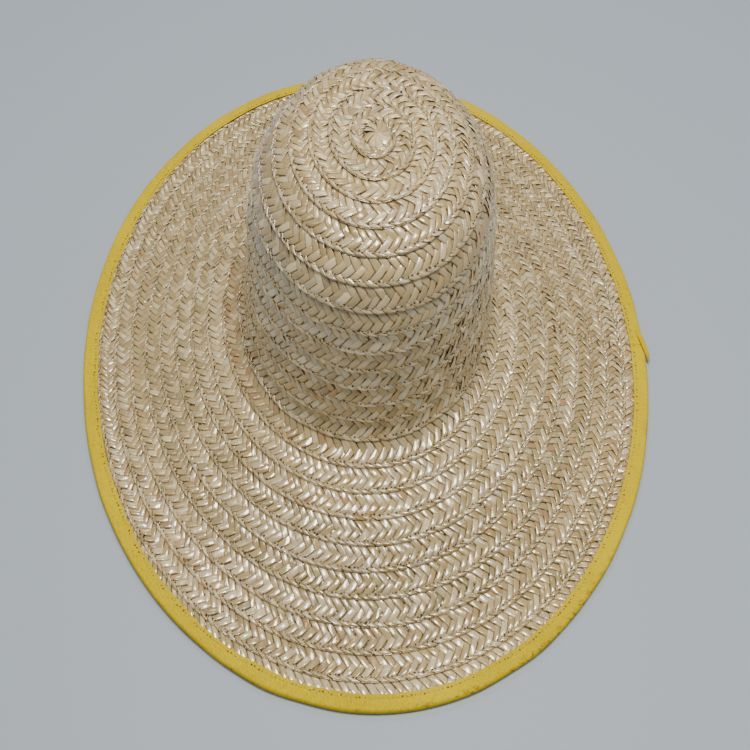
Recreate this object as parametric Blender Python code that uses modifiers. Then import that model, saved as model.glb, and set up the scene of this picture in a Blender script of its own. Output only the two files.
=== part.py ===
"""Straw sun hat, in metres, +Z up, with the hat's front at -Y and its brim edge resting at z = 0.

One long straw plait is sewn in a spiral, from the middle of the crown out to the edge of the brim. Each
turn's outer edge lies on top of the next turn, which is tucked under it. A cotton tape is folded round the
brim's edge and stitched, and its end is turned over at the join. Every turn of the plait is an object.
"""

import math

import bmesh
import bpy
from mathutils import Vector

OBJECT_NAME = "conical_hat"

# Overall sizes, measured over the binding and over the straw.
BRIM_LENGTH = 0.502  # front to back
BRIM_WIDTH = 0.367  # side to side
HAT_HEIGHT = 0.1805  # crown's middle above the surface that the brim rests on
HEAD_LENGTH = 0.204  # crown, front to back, at the foot of its wall
HEAD_WIDTH = 0.154  # crown, side to side, at the foot of its wall

# The outline of the hat from the crown's middle outwards: slopes are below level.
TOP_SLOPE = math.radians(2)
SHOULDER_RADIUS = 0.053
WALL_SLOPE = math.radians(84.8)
FOOT_RADIUS = 0.0165
BRIM_SLOPE = math.radians(17)
EASE_RADIUS = 0.13
CROWN_LEAN = 0.0085  # how far the crown's middle stands to +X of the brim's
TOP_OVAL = 0.71  # width over length of the turns in the middle of the crown

# The straw plait.
PLAIT_THICKNESS = 0.0012
PLAIT_TUCK = 0.003  # width of each turn that is hidden under the turn before it
CROWN_TURNS = 14
BRIM_TURNS = 10
TURNS_TO_EDGE = 23.28  # turns after which the plait's outer edge has come out to the brim's edge
START_RADIUS = 0.0087  # coiled start of the plait
START_STEP = 0.0042  # width of the first turn where it leaves the coiled start
START_AZIMUTH = math.radians(-5)  # the plait starts, ends and is bound off on the right-hand side

# The binding and its stitches.
TAPE_THICKNESS = 0.0007
BINDING_WIDTH = 0.0095
BINDING_CORNER = 0.0005
STITCH_MARGIN = 0.002  # stitches in from the tape's inner edge
THREAD_RADIUS = 0.00025
FOLD_LENGTH = 0.015
FOLD_PROUD = 0.0025  # how far the folded tape end's tip stands out past the edge

CLEARANCE = 0.0003  # between neighbouring pieces
SEGMENTS = 36  # flat facets to a turn, the same on every piece so that neighbours stay apart

STRAW = ("wheat_straw", (0.60, 0.50, 0.31), 0.45)
TAPE = ("yellow_cotton_tape", (0.66, 0.47, 0.03), 0.85)
THREAD = ("yellow_thread", (0.74, 0.56, 0.10), 0.55)

HEAD_OVAL = HEAD_WIDTH / HEAD_LENGTH
EDGE_OVAL = BRIM_WIDTH / BRIM_LENGTH
ROW_STEP = PLAIT_THICKNESS + CLEARANCE  # each turn's tucked side is this far below its outer edge
EDGE_RADIUS = BRIM_LENGTH / 2 - (TAPE_THICKNESS + CLEARANCE) / EDGE_OVAL
SPIRAL_START = START_RADIUS + CLEARANCE + START_STEP

# The straw inside the binding is two turns, one on the other, and the lower one's tucked side dips a little.
TUCK_DIP = ROW_STEP / 5
EDGE_STACK = 2 * PLAIT_THICKNESS + CLEARANCE + TUCK_DIP
BINDING_HEIGHT = EDGE_STACK + 2 * (CLEARANCE + TAPE_THICKNESS)
EDGE_HEIGHT = BINDING_HEIGHT - TAPE_THICKNESS - CLEARANCE


def outline_runs():
    """The outline as (length, slope at its start, slope at its end), from the crown's middle outwards."""
    level_rim = BINDING_WIDTH / EDGE_OVAL + PLAIT_TUCK
    brim_run = (
        EDGE_RADIUS
        - HEAD_LENGTH / 2
        - level_rim
        - EASE_RADIUS * math.sin(BRIM_SLOPE)
        - FOOT_RADIUS * (math.sin(WALL_SLOPE) - math.sin(BRIM_SLOPE))
    )
    brim = brim_run / math.cos(BRIM_SLOPE)
    crown_rise = (
        HAT_HEIGHT
        - EDGE_HEIGHT
        - EASE_RADIUS * (1 - math.cos(BRIM_SLOPE))
        - brim * math.sin(BRIM_SLOPE)
        - FOOT_RADIUS * (math.cos(BRIM_SLOPE) - math.cos(WALL_SLOPE))
        - SHOULDER_RADIUS * (math.cos(TOP_SLOPE) - math.cos(WALL_SLOPE))
    )
    crown_run = HEAD_LENGTH / 2 - SHOULDER_RADIUS * (math.sin(WALL_SLOPE) - math.sin(TOP_SLOPE))
    across = math.sin(WALL_SLOPE - TOP_SLOPE)
    top = (crown_run * math.sin(WALL_SLOPE) - crown_rise * math.cos(WALL_SLOPE)) / across
    wall = (crown_rise * math.cos(TOP_SLOPE) - crown_run * math.sin(TOP_SLOPE)) / across
    return [
        (top, TOP_SLOPE, TOP_SLOPE),
        (SHOULDER_RADIUS * (WALL_SLOPE - TOP_SLOPE), TOP_SLOPE, WALL_SLOPE),
        (wall, WALL_SLOPE, WALL_SLOPE),
        (FOOT_RADIUS * (WALL_SLOPE - BRIM_SLOPE), WALL_SLOPE, BRIM_SLOPE),
        (brim, BRIM_SLOPE, BRIM_SLOPE),
        (EASE_RADIUS * BRIM_SLOPE, BRIM_SLOPE, 0.0),
        (level_rim, 0.0, 0.0),
    ]


OUTLINE = outline_runs()
FOOT_ARC = sum(length for length, _, _ in OUTLINE[:3])
EDGE_ARC = sum(length for length, _, _ in OUTLINE)
PITCH = (EDGE_ARC - SPIRAL_START) / TURNS_TO_EDGE  # distance along the outline from one turn to the next


def outline_at(arc):
    """(radius, height, slope) at this distance along the outline from the crown's middle."""
    radius, height, slope = 0.0, HAT_HEIGHT, TOP_SLOPE
    for length, first, last in OUTLINE:
        run = min(arc, length)
        slope = first + (last - first) * run / length
        if first == last:
            radius += run * math.cos(first)
            height -= run * math.sin(first)
        else:
            bend = length / (last - first)
            radius += bend * (math.sin(slope) - math.sin(first))
            height -= bend * (math.cos(first) - math.cos(slope))
        arc -= run
        if arc <= 0:
            break
    return radius, height, slope


def oval_at(arc):
    """Width over length of the hat's oval, which changes evenly down the crown and then along the brim."""
    if arc < FOOT_ARC:
        return TOP_OVAL + (HEAD_OVAL - TOP_OVAL) * arc / FOOT_ARC
    return HEAD_OVAL + (EDGE_OVAL - HEAD_OVAL) * (arc - FOOT_ARC) / (EDGE_ARC - FOOT_ARC)


def hat_point(arc, azimuth, lift):
    """Point on the oval hat at this arc and azimuth, lifted along the surface's normal."""
    radius, height, slope = outline_at(arc)
    oval = oval_at(arc)
    lean = CROWN_LEAN * (height - EDGE_HEIGHT) / (HAT_HEIGHT - EDGE_HEIGHT)
    place = Vector((oval * radius * math.cos(azimuth) + lean, radius * math.sin(azimuth), height))
    normal = Vector(
        (
            math.sin(slope) * math.cos(azimuth) / oval,
            math.sin(slope) * math.sin(azimuth),
            math.cos(slope),
        )
    )
    return place + normal.normalized() * lift


def azimuth_at(turns):
    """The plait winds clockwise as seen from above."""
    return START_AZIMUTH - math.tau * turns


def outer_edge(turns, lift):
    """Point at the plait's outer edge, which stops at the brim's edge."""
    reach = SPIRAL_START + PITCH * turns
    beyond = max(0.0, reach - EDGE_ARC)
    return hat_point(min(reach, EDGE_ARC), azimuth_at(turns), lift - ROW_STEP * beyond / PITCH)


def beside_start(turns):
    """Point beside the coiled start, where the first turn begins."""
    return hat_point(START_RADIUS + CLEARANCE, azimuth_at(turns), 0.0)


def under_edge(turns):
    """Point just below this outer edge, where the next turn passes under it."""
    return outer_edge(turns, -ROW_STEP) if turns >= 0 else beside_start(turns)


def plait_section(turns):
    """Points across the plait's top face, from its tucked side to its outer edge."""
    bend = under_edge(turns - 1)
    tuck = (under_edge(turns - 2) - outer_edge(turns - 1, 0.0)) * (PLAIT_TUCK / PITCH)
    return [bend + tuck, bend, outer_edge(turns, 0.0)]


def first_turn_section(turns):
    """The first turn has no tucked side: it lies beside the coiled start."""
    return [beside_start(turns), outer_edge(turns, 0.0)]


def drawn_back(sections):
    """The same sections with both ends moved in by half a clearance, so that ends don't touch."""
    moved = [list(section) for section in sections]
    for end, inner in ((0, 1), (-1, -2)):
        for place, point in enumerate(sections[end]):
            along = (sections[inner][place] - point).normalized()
            moved[end][place] = point + along * (CLEARANCE / 2)
    return moved


def edge_point(turns, inset, height):
    """Point at this inset from the binding's outer face, measured square to the edge."""
    azimuth = azimuth_at(turns)
    outward = Vector((math.cos(azimuth), EDGE_OVAL * math.sin(azimuth), 0)).normalized()
    rim = Vector((BRIM_WIDTH / 2 * math.cos(azimuth), BRIM_LENGTH / 2 * math.sin(azimuth), height))
    return rim - outward * inset


def material(kind):
    name, colour, roughness = kind
    made = bpy.data.materials.get(name) or bpy.data.materials.new(name)
    made.use_nodes = True
    shader = made.node_tree.nodes["Principled BSDF"]
    shader.inputs["Base Color"].default_value = (*colour, 1)
    shader.inputs["Roughness"].default_value = roughness
    shader.inputs["Metallic"].default_value = 0.0
    made.diffuse_color = (*colour, 1)
    return made


def add_object(name, data, kind):
    data.materials.append(material(kind))
    made = bpy.data.objects.new(name, data)
    bpy.data.collections[OBJECT_NAME].objects.link(made)
    return made


def add_sheet(name, sections, thickness, kind):
    """A sheet through these sections, with its outer face up, given its thickness on the inner side."""
    mesh = bpy.data.meshes.new(name)
    grid = bmesh.new()
    along, across = len(sections) - 1, len(sections[0]) - 1
    bmesh.ops.create_grid(grid, x_segments=along, y_segments=across, size=1)
    for vert in grid.verts:
        station = round((vert.co.x + 1) / 2 * along)
        place = round((vert.co.y + 1) / 2 * across)
        vert.co = sections[station][place]
    grid.to_mesh(mesh)
    grid.free()
    mesh.shade_smooth()
    made = add_object(name, mesh, kind)
    solidify = made.modifiers.new("thickness", "SOLIDIFY")
    solidify.thickness = thickness
    solidify.offset = -1
    solidify.use_even_offset = True
    return made


def make_plait_start():
    """The coiled start of the plait, a small round of straw in the middle of the crown."""
    mesh = bpy.data.meshes.new("plait_start")
    disc = bmesh.new()
    bmesh.ops.create_circle(disc, cap_ends=True, cap_tris=True, segments=SEGMENTS, radius=START_RADIUS)
    for vert in disc.verts:
        vert.co = hat_point(vert.co.length, math.atan2(vert.co.y, vert.co.x), 0.0)
    disc.to_mesh(mesh)
    disc.free()
    mesh.shade_smooth()
    made = add_object("plait_start", mesh, STRAW)
    solidify = made.modifiers.new("thickness", "SOLIDIFY")
    solidify.thickness = PLAIT_THICKNESS
    solidify.offset = -1


def make_plait_turns():
    """One object to a turn, each meeting the next end to end."""
    for turn in range(CROWN_TURNS + BRIM_TURNS):
        section = plait_section if turn else first_turn_section
        sections = [section(turn + step / SEGMENTS) for step in range(SEGMENTS + 1)]
        if turn < CROWN_TURNS:
            name = f"crown_turn_{turn + 1:02d}"
        else:
            name = f"brim_turn_{turn + 1 - CROWN_TURNS:02d}"
        add_sheet(name, drawn_back(sections), PLAIT_THICKNESS, STRAW)


def make_binding():
    """The tape, folded round the straw edge with one leg on top and one below, open at its join."""
    corner, top = BINDING_CORNER, BINDING_HEIGHT
    fold = [
        (BINDING_WIDTH, top),
        (corner, top),
        (0.0, top - corner),
        (0.0, corner),
        (corner, 0.0),
        (BINDING_WIDTH, 0.0),
    ]
    sections = [
        [edge_point(step / SEGMENTS, inset, height) for inset, height in fold]
        for step in range(SEGMENTS + 1)
    ]
    add_sheet("edge_binding", drawn_back(sections), TAPE_THICKNESS, TAPE)


def make_binding_fold():
    """The tape's turned-over end, lying on the join with its tip standing out past the edge."""
    height = BINDING_HEIGHT + CLEARANCE + TAPE_THICKNESS
    half = FOLD_LENGTH / 2 / (math.pi * BRIM_LENGTH)
    clear_of_stitches = BINDING_WIDTH - STITCH_MARGIN - THREAD_RADIUS - CLEARANCE
    sections = [
        [edge_point(-half, clear_of_stitches, height), edge_point(-half, 0.0, height)],
        [edge_point(half, clear_of_stitches / 2, height), edge_point(half, -FOLD_PROUD, height)],
    ]
    add_sheet("binding_fold", sections, TAPE_THICKNESS, TAPE)


def make_binding_thread():
    """The stitch thread, laid along the tape's top leg near its inner edge."""
    height = BINDING_HEIGHT + CLEARANCE + THREAD_RADIUS
    inset = BINDING_WIDTH - STITCH_MARGIN
    stations = [[edge_point(step / SEGMENTS, inset, height)] for step in range(SEGMENTS + 1)]
    route = drawn_back(stations)
    curve = bpy.data.curves.new("binding_thread", "CURVE")
    curve.dimensions = "3D"
    curve.bevel_depth = THREAD_RADIUS
    curve.bevel_resolution = 0
    curve.use_fill_caps = True
    spline = curve.splines.new("POLY")
    spline.points.add(len(route) - 1)
    for point, (place,) in zip(spline.points, route):
        point.co = (*place, 1)
    add_object("binding_thread", curve, THREAD)


def main():
    for old in list(bpy.data.objects):
        bpy.data.objects.remove(old, do_unlink=True)
    collection = bpy.data.collections.new(OBJECT_NAME)
    bpy.context.scene.collection.children.link(collection)
    make_plait_start()
    make_plait_turns()
    make_binding()
    make_binding_fold()
    make_binding_thread()


main()
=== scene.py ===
"""Straw sun hat: the finished looks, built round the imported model.

One flat plait of split straws is woven here straw by straw and laid in a spiral, from the middle of the
crown out to the edge of the brim. It is sewn to itself along its outer edge, and a yellow cotton tape is
folded round the brim's edge and stitched on. Lengths are in metres, +Z is up and the hat's front is at -Y.
"""

import math

import bpy
import numpy as np
from bpy.props import FloatProperty, FloatVectorProperty, IntProperty, PointerProperty
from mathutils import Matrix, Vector


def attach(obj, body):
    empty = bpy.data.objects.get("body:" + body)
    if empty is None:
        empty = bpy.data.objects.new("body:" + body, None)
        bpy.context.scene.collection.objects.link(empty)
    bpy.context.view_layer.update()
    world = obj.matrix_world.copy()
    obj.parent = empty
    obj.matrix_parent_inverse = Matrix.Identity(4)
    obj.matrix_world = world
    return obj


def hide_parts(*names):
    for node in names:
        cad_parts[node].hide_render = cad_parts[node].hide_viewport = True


bl_info = {
    "name": "Straw Sun Hat",
    "version": (1, 0, 0),
    "blender": (4, 5, 0),
    "location": "3D Viewport > Sidebar > Straw Hat",
    "description": "Weaves, sews and binds a straw sun hat round its packed model",
    "category": "Object",
}

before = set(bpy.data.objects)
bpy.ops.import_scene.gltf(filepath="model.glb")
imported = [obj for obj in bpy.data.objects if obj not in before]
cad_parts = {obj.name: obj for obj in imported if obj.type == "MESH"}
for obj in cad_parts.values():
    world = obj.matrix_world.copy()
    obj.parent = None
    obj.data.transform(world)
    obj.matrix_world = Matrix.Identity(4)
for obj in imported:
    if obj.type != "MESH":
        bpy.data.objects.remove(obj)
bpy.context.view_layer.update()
BODY = "root"

# Overall sizes and outline of the hat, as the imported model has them.
BRIM_LENGTH = 0.502
BRIM_WIDTH = 0.367
HAT_HEIGHT = 0.1805
HEAD_LENGTH = 0.204
HEAD_WIDTH = 0.154
TOP_SLOPE = math.radians(2)
SHOULDER_RADIUS = 0.053
WALL_SLOPE = math.radians(84.8)
FOOT_RADIUS = 0.0165
BRIM_SLOPE = math.radians(17)
EASE_RADIUS = 0.13
CROWN_LEAN = 0.0085
TOP_OVAL = 0.71

# The plait as it is laid and sewn.
PLAIT_THICKNESS = 0.0012
PLAIT_TUCK = 0.003
ROW_STEP = 0.0015
CROWN_TURNS = 14
BRIM_TURNS = 10
TURNS_TO_EDGE = 23.28
START_RADIUS = 0.0087
SPIRAL_START = 0.0132
START_AZIMUTH = math.radians(-5)

# The binding tape.
TAPE_THICKNESS = 0.0005
BINDING_WIDTH = 0.0095
BINDING_HEIGHT = 0.005
RIM_GAP = 0.001  # from the straw's edge to the tape's outer face
EDGE_HEIGHT = 0.004
FOLD_LENGTH = 0.024
FOLD_PROUD = 0.0025

HEAD_OVAL = HEAD_WIDTH / HEAD_LENGTH
EDGE_OVAL = BRIM_WIDTH / BRIM_LENGTH
EDGE_RADIUS = BRIM_LENGTH / 2 - RIM_GAP / EDGE_OVAL

MM = 0.001
SEED = 1907


def outline_runs():
    """The outline as (length, slope at its start, slope at its end), from the crown's middle outwards."""
    level_rim = BINDING_WIDTH / EDGE_OVAL + PLAIT_TUCK
    brim_run = (
        EDGE_RADIUS
        - HEAD_LENGTH / 2
        - level_rim
        - EASE_RADIUS * math.sin(BRIM_SLOPE)
        - FOOT_RADIUS * (math.sin(WALL_SLOPE) - math.sin(BRIM_SLOPE))
    )
    brim = brim_run / math.cos(BRIM_SLOPE)
    crown_rise = (
        HAT_HEIGHT
        - EDGE_HEIGHT
        - EASE_RADIUS * (1 - math.cos(BRIM_SLOPE))
        - brim * math.sin(BRIM_SLOPE)
        - FOOT_RADIUS * (math.cos(BRIM_SLOPE) - math.cos(WALL_SLOPE))
        - SHOULDER_RADIUS * (math.cos(TOP_SLOPE) - math.cos(WALL_SLOPE))
    )
    crown_run = HEAD_LENGTH / 2 - SHOULDER_RADIUS * (math.sin(WALL_SLOPE) - math.sin(TOP_SLOPE))
    across = math.sin(WALL_SLOPE - TOP_SLOPE)
    top = (crown_run * math.sin(WALL_SLOPE) - crown_rise * math.cos(WALL_SLOPE)) / across
    wall = (crown_rise * math.cos(TOP_SLOPE) - crown_run * math.sin(TOP_SLOPE)) / across
    return [
        (top, TOP_SLOPE, TOP_SLOPE),
        (SHOULDER_RADIUS * (WALL_SLOPE - TOP_SLOPE), TOP_SLOPE, WALL_SLOPE),
        (wall, WALL_SLOPE, WALL_SLOPE),
        (FOOT_RADIUS * (WALL_SLOPE - BRIM_SLOPE), WALL_SLOPE, BRIM_SLOPE),
        (brim, BRIM_SLOPE, BRIM_SLOPE),
        (EASE_RADIUS * BRIM_SLOPE, BRIM_SLOPE, 0.0),
        (level_rim, 0.0, 0.0),
    ]


OUTLINE = outline_runs()
FOOT_ARC = sum(length for length, _, _ in OUTLINE[:3])
EDGE_ARC = sum(length for length, _, _ in OUTLINE)
PITCH = (EDGE_ARC - SPIRAL_START) / TURNS_TO_EDGE
PLAIT_WIDTH = PITCH + PLAIT_TUCK


def outline_at(arc):
    """Radius, height and slope at these distances along the outline from the crown's middle."""
    left = np.maximum(arc, 0.0)
    radius = np.zeros_like(left)
    height = np.full_like(left, HAT_HEIGHT)
    slope = np.full_like(left, TOP_SLOPE)
    for length, first, last in OUTLINE:
        run = np.minimum(left, length)
        turned = first + (last - first) * run / length
        slope = np.where(left > 0, turned, slope)
        if first == last:
            radius += run * math.cos(first)
            height -= run * math.sin(first)
        else:
            bend = length / (last - first)
            radius += bend * (np.sin(turned) - math.sin(first))
            height -= bend * (math.cos(first) - np.cos(turned))
        left = left - run
    return radius, height, slope


def oval_at(arc):
    """Width over length of the hat's oval at these distances along the outline."""
    stations = (0.0, FOOT_ARC, EDGE_ARC)
    return np.interp(arc, stations, (TOP_OVAL, HEAD_OVAL, EDGE_OVAL))


# Waves of the sewn straw: size, waves round the hat, winding with distance from the middle, and start.
WAVES = (
    (0.55, 2, 0.0, 0.7),
    (0.45, 3, 31.0, 1.9),
    (0.40, 5, -47.0, 4.1),
    (0.30, 8, 83.0, 2.6),
    (0.22, 13, -120.0, 0.4),
)
WAVE_STATIONS = (0.0, 0.03, 0.20, 0.33, EDGE_ARC)
WAVE_HEIGHTS = (0.0, 0.3 * MM, 0.9 * MM, 1.1 * MM, 0.0)


def unevenness(arc, azimuth):
    """Slight handmade waviness of the sewn straw, none in the middle of the crown and none at the edge."""
    waves = sum(size * np.sin(count * azimuth + wind * arc + start) for size, count, wind, start in WAVES)
    return waves * np.interp(arc, WAVE_STATIONS, WAVE_HEIGHTS)


def hat_points(arc, azimuth, lift):
    """Points on the oval hat, lifted along the surface's normal, as an array of one row a point."""
    radius, height, slope = outline_at(arc)
    oval = oval_at(arc)
    lean = CROWN_LEAN * (height - EDGE_HEIGHT) / (HAT_HEIGHT - EDGE_HEIGHT)
    east, north = np.cos(azimuth), np.sin(azimuth)
    normal = np.stack((np.sin(slope) * east / oval, np.sin(slope) * north, np.cos(slope)), -1)
    normal /= np.linalg.norm(normal, axis=-1, keepdims=True)
    place = np.stack((oval * radius * east + lean, radius * north, height), -1)
    return place + normal * (lift + unevenness(arc, azimuth))[..., None]


def azimuth_at(turns):
    """The plait winds clockwise as seen from above."""
    return START_AZIMUTH - math.tau * turns


def reach_at(turns):
    """Distance along the outline to the plait's outer edge, before it stops at the brim's edge."""
    return SPIRAL_START + PITCH * turns


def row_points(turns, share, rise):
    """Points on the laid plait: share runs from its tucked side, 0, to its outer edge, 1."""
    reach = reach_at(turns)
    outer = np.minimum(reach, EDGE_ARC)
    inner = np.maximum(reach - PLAIT_WIDTH, START_RADIUS - 0.6 * MM)
    arc = inner + (outer - inner) * share
    lift = -PLAIT_THICKNESS / 2 - ROW_STEP * (reach - arc) / PITCH
    return hat_points(arc, azimuth_at(turns), lift + rise)


def length_along(points):
    """Length from the first point to each of these points."""
    steps = np.linalg.norm(np.diff(points, axis=0), axis=1)
    return np.concatenate(([0.0], np.cumsum(steps)))


def paired(first, second):
    """Two arrays as pairs of values."""
    return np.stack(np.broadcast_arrays(first, second), -1)


def laid_length():
    """Length of laid plait from its start to each of a run of turns, measured along its middle."""
    turns = np.linspace(-0.5, CROWN_TURNS + BRIM_TURNS + 0.5, 6001)
    length = length_along(row_points(turns, np.full_like(turns, 0.55), np.zeros_like(turns)))
    return turns, length - np.interp(0.0, turns, length)


LAID_TURNS, LAID_LENGTH = laid_length()


def turns_after(length):
    """Turns that this length of plait has made."""
    return np.interp(length, LAID_LENGTH, LAID_TURNS)


def length_after(turns):
    """Length of plait laid after these turns."""
    return np.interp(turns, LAID_TURNS, LAID_LENGTH)


def eased(share):
    """Smooth step from 0 to 1."""
    share = np.clip(share, 0.0, 1.0)
    return share * share * (3 - 2 * share)


class Wander:
    """Seeded values that change smoothly with distance, such as a straw's roll."""

    def __init__(self, seed, spacing, length, size):
        self.spacing = spacing
        count = int(length / spacing) + 8
        self.knots = np.random.default_rng((SEED, seed)).normal(0.0, size, count)

    def at(self, distance):
        place = np.clip(distance / self.spacing + 3, 0, len(self.knots) - 2)
        first = np.floor(place).astype(int)
        share = eased(place - first)
        return self.knots[first] * (1 - share) + self.knots[first + 1] * share


# How a straw strays from its even course: seed, distance from one change to the next, and size.
ROLL = (100, 6 * MM, 0.30 * MM)
BOB = (200, 4 * MM, 0.14 * MM)
DRIFT = (300, 9 * MM, 0.30 * MM)
GIRTH = (400, 60 * MM, 0.07)
PLUMPNESS = (500, 25 * MM, 0.22)


class StrawSettings(bpy.types.PropertyGroup):
    """Sizes and colours of the plaited straw."""

    ends: IntProperty(
        name="Straws", description="Straws in the plait, an odd number", default=7, min=5, max=9
    )
    spacing: FloatProperty(
        name="Spacing", description="Distance from one straw to the next", default=5.0 * MM, unit="LENGTH"
    )
    wave: FloatProperty(
        name="Wave",
        description="How far a straw rises and dips as it crosses the others",
        default=0.42 * MM,
        precision=5,
        unit="LENGTH",
    )
    puff: FloatProperty(
        name="Puff",
        description="Half the thickness of a flattened straw at its middle",
        default=0.36 * MM,
        precision=5,
        unit="LENGTH",
    )
    fill: FloatProperty(
        name="Fill", description="Straw width as a share of the spacing", default=1.04, subtype="FACTOR"
    )
    stitch: FloatProperty(
        name="Stitch", description="Length of a seam stitch", default=4.7 * MM, unit="LENGTH"
    )
    cream: FloatVectorProperty(
        name="Cream", description="Palest straw", default=(0.76, 0.63, 0.38), subtype="COLOR"
    )
    wheat: FloatVectorProperty(
        name="Wheat", description="Usual straw", default=(0.57, 0.42, 0.19), subtype="COLOR"
    )
    tan: FloatVectorProperty(
        name="Tan", description="Browner straw", default=(0.53, 0.33, 0.145), subtype="COLOR"
    )
    sage: FloatVectorProperty(
        name="Sage", description="Greenish straw", default=(0.49, 0.41, 0.19), subtype="COLOR"
    )


class BindingSettings(bpy.types.PropertyGroup):
    """Sizes and colours of the edge binding."""

    stitch: FloatProperty(
        name="Stitch", description="Length of a binding stitch", default=5.3 * MM, unit="LENGTH"
    )
    margin: FloatProperty(
        name="Margin", description="From stitches to the tape's inner edge", default=2.0 * MM, unit="LENGTH"
    )
    thread_radius: FloatProperty(
        name="Thread radius",
        description="Radius of the sewing thread",
        default=0.2 * MM,
        precision=5,
        unit="LENGTH",
    )
    pucker: FloatProperty(
        name="Pucker",
        description="Height of the small ripples between stitches",
        default=0.22 * MM,
        precision=5,
        unit="LENGTH",
    )
    tape_colour: FloatVectorProperty(
        name="Tape", description="Cotton tape", default=(0.72, 0.56, 0.0), subtype="COLOR"
    )
    thread_colour: FloatVectorProperty(
        name="Thread", description="Sewing thread", default=(0.80, 0.64, 0.18), subtype="COLOR"
    )


class StageSettings(bpy.types.PropertyGroup):
    """Floor, lights and camera."""

    lens: FloatProperty(name="Lens", description="Focal length in mm", default=51.62)
    floor_colour: FloatVectorProperty(
        name="Floor", description="Floor colour", default=(0.42, 0.50, 0.62), subtype="COLOR"
    )
    key_power: FloatProperty(
        name="Key", description="Power of the soft light overhead", default=17.0, unit="POWER"
    )
    tube_power: FloatProperty(
        name="Tubes", description="Power of each of the two tube lights", default=2.5, unit="POWER"
    )
    glint_power: FloatProperty(
        name="Glint", description="Power of the smaller light behind", default=3.2, unit="POWER"
    )
    sky: FloatProperty(name="Sky", description="Strength of the light all round", default=0.26)


def add_mesh(name, points, faces, materials, material_index=None):
    """A smooth mesh object from an array of points and arrays of equal-sided faces."""
    mesh = bpy.data.meshes.new(name)
    sizes = np.concatenate([np.full(len(block), block.shape[1]) for block in faces])
    corners = np.concatenate([block.ravel() for block in faces]).astype(np.int32)
    starts = np.concatenate(([0], np.cumsum(sizes)[:-1])).astype(np.int32)
    mesh.vertices.add(len(points))
    mesh.vertices.foreach_set("co", points.astype(np.float32).ravel())
    mesh.loops.add(len(corners))
    mesh.loops.foreach_set("vertex_index", corners)
    mesh.polygons.add(len(sizes))
    mesh.polygons.foreach_set("loop_start", starts)
    for material in materials:
        mesh.materials.append(material)
    if material_index is not None:
        mesh.polygons.foreach_set("material_index", material_index.astype(np.int32))
    mesh.update(calc_edges=True)
    mesh.validate()
    mesh.shade_smooth()
    made = bpy.data.objects.new(name, mesh)
    bpy.context.scene.collection.objects.link(made)
    return made


def add_coordinates(made, name, values):
    """A UV map with one pair of values a point."""
    mesh = made.data
    corner_points = np.zeros(len(mesh.loops), np.int32)
    mesh.loops.foreach_get("vertex_index", corner_points)
    layer = mesh.uv_layers.new(name=name)
    layer.data.foreach_set("uv", values[corner_points].astype(np.float32).ravel())


def add_tint(made, name, values):
    """A colour attribute with one value a point."""
    layer = made.data.color_attributes.new(name, "FLOAT_COLOR", "POINT")
    layer.data.foreach_set("color", values.astype(np.float32).ravel())


def tube_faces(stations, sides, start):
    """Quads of a closed tube's wall, and its two end faces."""
    rows = start + np.arange(stations - 1)[:, None] * sides
    column = np.arange(sides)[None, :]
    after = (column + 1) % sides
    wall = np.stack((rows + column, rows + sides + column, rows + sides + after, rows + after), -1)
    first = start + np.arange(sides)
    last = start + (stations - 1) * sides + np.arange(sides)[::-1]
    return wall.reshape(-1, 4), np.stack((first, last))


def tube(path, radii, sides):
    """Rings of points of a tube along a path, with a radius at each station."""
    along = np.gradient(path, axis=0)
    along /= np.linalg.norm(along, axis=1, keepdims=True)
    aside = np.cross(along, (0.0, 0.0, 1.0))
    size = np.linalg.norm(aside, axis=1, keepdims=True)
    aside = np.where(size > 0.05, aside / np.maximum(size, 0.05), (1.0, 0.0, 0.0))
    up = np.cross(aside, along)
    angle = np.arange(sides) * math.tau / sides
    ring = aside[:, None] * np.cos(angle)[None, :, None] + up[:, None] * np.sin(angle)[None, :, None]
    return path[:, None] + ring * np.asarray(radii)[:, None, None]


class Bundle:
    """Closed tubes that become one object."""

    def __init__(self):
        self.points, self.walls, self.ends = [], [], []
        self.count = 0

    def add(self, rings):
        """One more tube, from an array of stations, points of a ring and axes."""
        wall, ends = tube_faces(rings.shape[0], rings.shape[1], self.count)
        self.points.append(rings.reshape(-1, 3))
        self.walls.append(wall)
        self.ends.append(ends)
        self.count += rings.shape[0] * rings.shape[1]

    def faces(self, first=0):
        """Its faces from this tube on, as one array of quads and one of end faces."""
        return [np.concatenate(self.walls[first:]), np.concatenate(self.ends[first:])]


def add_straw_layers(made, tints, grains, seams):
    """The tint of each straw, and the coordinates that its grain and its seam follow."""
    add_coordinates(made, "grain", np.concatenate([grain.reshape(-1, 2) for grain in grains]))
    add_coordinates(made, "seam", np.concatenate([seam.reshape(-1, 2) for seam in seams]))
    add_tint(made, "tint", np.concatenate([tint.reshape(-1, 4) for tint in tints]))


# A straw's flattened section: place across it from -1 to 1, and share of its puff to each side.
SECTION_ACROSS = np.array((-1.0, -0.6, 0.0, 0.6, 1.0, 0.6, 0.0, -0.6))
SECTION_PUFF = np.array((0.0, 0.84, 1.0, 0.84, 0.0, -0.84, -1.0, -0.84))
STATIONS_ACROSS = 19
EDGE_EASE = 0.5  # how far a straw leans along the plait near its edges: 0 not at all, 1 fully
FOLD_STEPS = 2  # stations of a straw's turn at the plait's edge
FOLD_RISE = 0.75  # a straw's height where it folds, as a share of the wave
ARCH = 0.25  # how much a straw arches over the straws that it crosses
STRAW_PIECES = (0.05, 0.17)  # shortest and longest piece of straw before the next takes over
SEAM_INSET = 2.3 * MM
SEAM_THREAD_RADIUS = 0.2 * MM
SEAM_PULL = 0.18 * MM  # how deep a seam stitch draws the straw in
THREAD_SIDES = 5
HOLE_SHIFT = 0.3  # a needle hole's distance from its stitch's middle, as a share of the stitch
HOLE_STRAY = 0.4  # how far a hole strays across the seam, in millimetres
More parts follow.
